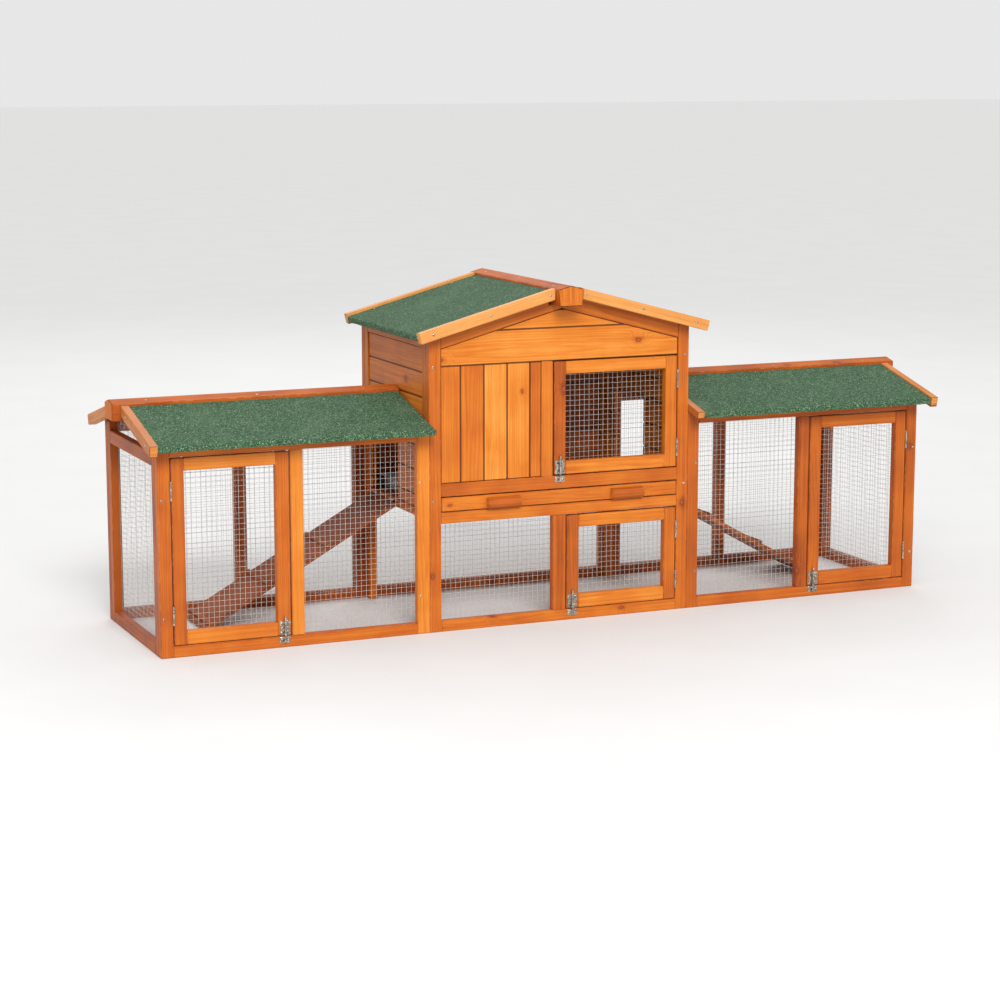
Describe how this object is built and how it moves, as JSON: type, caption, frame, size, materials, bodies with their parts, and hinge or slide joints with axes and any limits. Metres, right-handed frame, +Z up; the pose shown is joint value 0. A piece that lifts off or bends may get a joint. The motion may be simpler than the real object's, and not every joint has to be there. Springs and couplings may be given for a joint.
{
  "type": "rabbit hutch",
  "caption": "Outdoor rabbit hutch: a two-storey gabled timber tower between two long mesh runs, with felted roofs, hinged doors, ramps and a pull-out tray.",
  "frame": {"origin": "on the ground, under the middle of the bounding box", "axes": "+X along the hutch to its right-hand run, +Y from the door side to the back, +Z up"},
  "size_m": [2.114, 0.5624, 0.8243],
  "materials": {
    "frame_wood": "orange-stained fir, satin",
    "board_wood": "orange-stained fir, satin",
    "trim_wood": "orange-stained fir, satin",
    "ridge_wood": "reddish stained fir, satin",
    "inner_wood": "stained fir, matt",
    "roof_felt": "green mineral granules on bitumen felt",
    "wire_mesh": "galvanised",
    "hardware": "zinc plated",
    "tray_sheet": "galvanised sheet"
  },
  "bodies": {
    "frame": {"frame_screws": "hardware", "latch_keepers": "hardware", "left_run_back_frame": "frame_wood", "left_run_bargeboards": "trim_wood", "left_run_door_hinges": "hardware", "left_run_end_frame": "frame_wood", "left_run_front_frame": "frame_wood", "left_run_mesh": "wire_mesh", "left_run_ramp_hinges": "hardware", "left_run_ridge_beam": "ridge_wood", "left_run_roof_boards": "board_wood", "left_run_roof_felt": "roof_felt", "right_run_back_frame": "frame_wood", "right_run_bargeboards": "trim_wood", "right_run_door_hinges": "hardware", "right_run_end_frame": "frame_wood", "right_run_front_frame": "frame_wood", "right_run_mesh": "wire_mesh", "right_run_ramp_hinges": "hardware", "right_run_ridge_beam": "ridge_wood", "right_run_roof_boards": "board_wood", "right_run_roof_felt": "roof_felt", "tower_back_boards": "board_wood", "tower_back_frame": "frame_wood", "tower_bargeboards": "trim_wood", "tower_door_hinges": "hardware", "tower_floor": "inner_wood", "tower_front_frame": "frame_wood", "tower_front_planks": "board_wood", "tower_gable_boards": "board_wood", "tower_mesh": "wire_mesh", "tower_rafters": "frame_wood", "tower_ridge_beam": "ridge_wood", "tower_roof_boards": "board_wood", "tower_roof_felt": "roof_felt", "tower_wall_boards": "board_wood", "tower_wall_frames": "frame_wood"},
    "left_run_door": {"left_run_door_frame": "frame_wood", "left_run_door_mesh": "wire_mesh", "left_run_door_fittings": "hardware"},
    "right_run_door": {"right_run_door_frame": "frame_wood", "right_run_door_mesh": "wire_mesh", "right_run_door_fittings": "hardware"},
    "upper_door": {"upper_door_frame": "frame_wood", "upper_door_mesh": "wire_mesh", "upper_door_fittings": "hardware"},
    "lower_door": {"lower_door_frame": "frame_wood", "lower_door_mesh": "wire_mesh", "lower_door_fittings": "hardware"},
    "left_run_bolt": {"left_run_latch_bolt": "hardware"},
    "right_run_bolt": {"right_run_latch_bolt": "hardware"},
    "upper_door_bolt": {"upper_door_latch_bolt": "hardware"},
    "lower_door_bolt": {"lower_door_latch_bolt": "hardware"},
    "tray": {"tray_front": "frame_wood", "tray_pan": "tray_sheet", "tray_handles": "frame_wood"},
    "left_ramp": {"left_run_ramp": "inner_wood", "left_run_ramp_leaves": "hardware"},
    "right_ramp": {"right_run_ramp": "inner_wood", "right_run_ramp_leaves": "hardware"}
  },
  "joints": [
    {"name": "left_run_door_hinge", "type": "hinge", "parent": "frame", "child": "left_run_door", "pos_m": [-0.9762, -0.2307, 0.2457], "axis": [0, 0, -1], "range_deg": [0, 110]},
    {"name": "right_run_door_hinge", "type": "hinge", "parent": "frame", "child": "right_run_door", "pos_m": [0.9762, -0.2307, 0.2457], "axis": [0, 0, 1], "range_deg": [0, 110]},
    {"name": "upper_door_hinge", "type": "hinge", "parent": "frame", "child": "upper_door", "pos_m": [0.3128, -0.2307, 0.4997], "axis": [0, 0, 1], "range_deg": [0, 110]},
    {"name": "lower_door_hinge", "type": "hinge", "parent": "frame", "child": "lower_door", "pos_m": [0.3128, -0.2307, 0.1439], "axis": [0, 0, 1], "range_deg": [0, 110]},
    {"name": "left_run_bolt_slide", "type": "slide", "parent": "left_run_door", "child": "left_run_bolt", "axis": [0, 0, 1], "range_m": [-0.012, 0.003]},
    {"name": "right_run_bolt_slide", "type": "slide", "parent": "right_run_door", "child": "right_run_bolt", "axis": [0, 0, 1], "range_m": [-0.012, 0.003]},
    {"name": "upper_door_bolt_slide", "type": "slide", "parent": "upper_door", "child": "upper_door_bolt", "axis": [0, 0, 1], "range_m": [-0.012, 0.003]},
    {"name": "lower_door_bolt_slide", "type": "slide", "parent": "lower_door", "child": "lower_door_bolt", "axis": [0, 0, 1], "range_m": [-0.012, 0.003]},
    {"name": "tray_slide", "type": "slide", "parent": "frame", "child": "tray", "axis": [0, -1, 0], "range_m": [0, 0.35]},
    {"name": "left_ramp_hinge", "type": "hinge", "parent": "frame", "child": "left_ramp", "pos_m": [-0.3475, 0.071, 0.286], "axis": [0, 1, 0], "range_deg": [0, 45]},
    {"name": "right_ramp_hinge", "type": "hinge", "parent": "frame", "child": "right_ramp", "pos_m": [0.3475, 0.071, 0.286], "axis": [0, -1, 0], "range_deg": [0, 45]}
  ]
}
